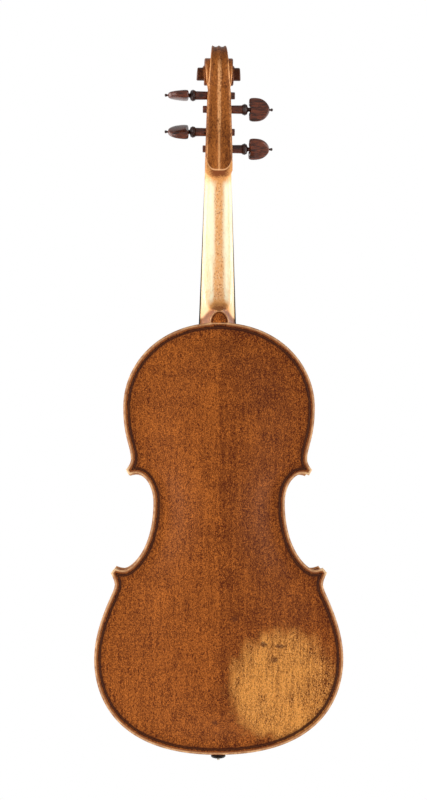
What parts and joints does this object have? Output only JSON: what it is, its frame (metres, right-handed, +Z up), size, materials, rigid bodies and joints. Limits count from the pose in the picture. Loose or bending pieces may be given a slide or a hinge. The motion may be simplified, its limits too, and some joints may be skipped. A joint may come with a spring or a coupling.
{
  "type": "viola",
  "caption": "Viola with arched back and belly, open scroll head, turning tuning pegs with wound strings, arched bridge, tailpiece and end button.",
  "frame": {"origin": "the throat under the scroll, in front of the pegbox, where a hanger's hook holds the viola by its head", "axes": "+Z runs up the neck to the scroll, +Y out of the back, -Y out of the belly, and +X to the treble side"},
  "size_m": [0.23, 0.1094, 0.678],
  "materials": {
    "back_varnish": "maple under worn red-brown oil varnish",
    "belly_varnish": "spruce under worn orange-brown oil varnish",
    "rib_varnish": "maple under red-brown oil varnish",
    "neck_maple": "bare polished maple, varnished on the head and heel",
    "plain_spruce": "bare planed spruce",
    "purfling": "dyed strips let in flush",
    "ebony": "polished ebony",
    "rosewood": "turned and polished rosewood",
    "bridge_maple": "bare scraped maple",
    "string_metal": "flat-wound metal",
    "tail_cord": "plain nylon cord"
  },
  "bodies": {
    "viola_frame": {"back_bass": "back_varnish", "back_treble": "back_varnish", "belly_bass": "belly_varnish", "belly_treble": "belly_varnish", "purfling_back": "purfling", "purfling_belly_bass": "purfling", "purfling_belly_treble": "purfling", "rib_upper_bass": "rib_varnish", "rib_upper_treble": "rib_varnish", "rib_waist_bass": "rib_varnish", "rib_waist_treble": "rib_varnish", "rib_lower_bass": "rib_varnish", "rib_lower_treble": "rib_varnish", "lining_upper_belly_bass": "plain_spruce", "lining_upper_belly_treble": "plain_spruce", "lining_upper_back_bass": "plain_spruce", "lining_upper_back_treble": "plain_spruce", "lining_waist_belly_bass": "plain_spruce", "lining_waist_belly_treble": "plain_spruce", "lining_waist_back_bass": "plain_spruce", "lining_waist_back_treble": "plain_spruce", "lining_lower_belly_bass": "plain_spruce", "lining_lower_belly_treble": "plain_spruce", "lining_lower_back_bass": "plain_spruce", "lining_lower_back_treble": "plain_spruce", "corner_block_upper_bass": "plain_spruce", "corner_block_upper_treble": "plain_spruce", "corner_block_lower_bass": "plain_spruce", "corner_block_lower_treble": "plain_spruce", "neck_block": "plain_spruce", "end_block": "plain_spruce", "bass_bar": "plain_spruce", "sound_post": "plain_spruce", "neck_and_scroll": "neck_maple", "fingerboard": "ebony", "nut": "ebony", "saddle": "ebony", "end_button": "ebony", "tailpiece": "ebony", "tailpiece_fret": "ebony", "tail_cord": "tail_cord", "bridge": "bridge_maple", "string_c": "string_metal", "string_g": "string_metal", "string_d": "string_metal", "string_a": "string_metal"},
    "peg_c_turner": {"peg_c": "rosewood", "winding_c": "string_metal"},
    "peg_g_turner": {"peg_g": "rosewood", "winding_g": "string_metal"},
    "peg_d_turner": {"peg_d": "rosewood", "winding_d": "string_metal"},
    "peg_a_turner": {"peg_a": "rosewood", "winding_a": "string_metal"}
  },
  "joints": [
    {"name": "peg_c_turn", "type": "hinge", "parent": "viola_frame", "child": "peg_c_turner", "pos_m": [0, 0.00833, -0.05213], "axis": [1, 0, 0], "continuous": true},
    {"name": "peg_g_turn", "type": "hinge", "parent": "viola_frame", "child": "peg_g_turner", "pos_m": [0, 0.01462, -0.0152], "axis": [1, 0, 0], "continuous": true},
    {"name": "peg_d_turn", "type": "hinge", "parent": "viola_frame", "child": "peg_d_turner", "pos_m": [0, 0.01507, -0.00197], "axis": [1, 0, 0], "continuous": true},
    {"name": "peg_a_turn", "type": "hinge", "parent": "viola_frame", "child": "peg_a_turner", "pos_m": [0, 0.01155, -0.03659], "axis": [1, 0, 0], "continuous": true}
  ]
}
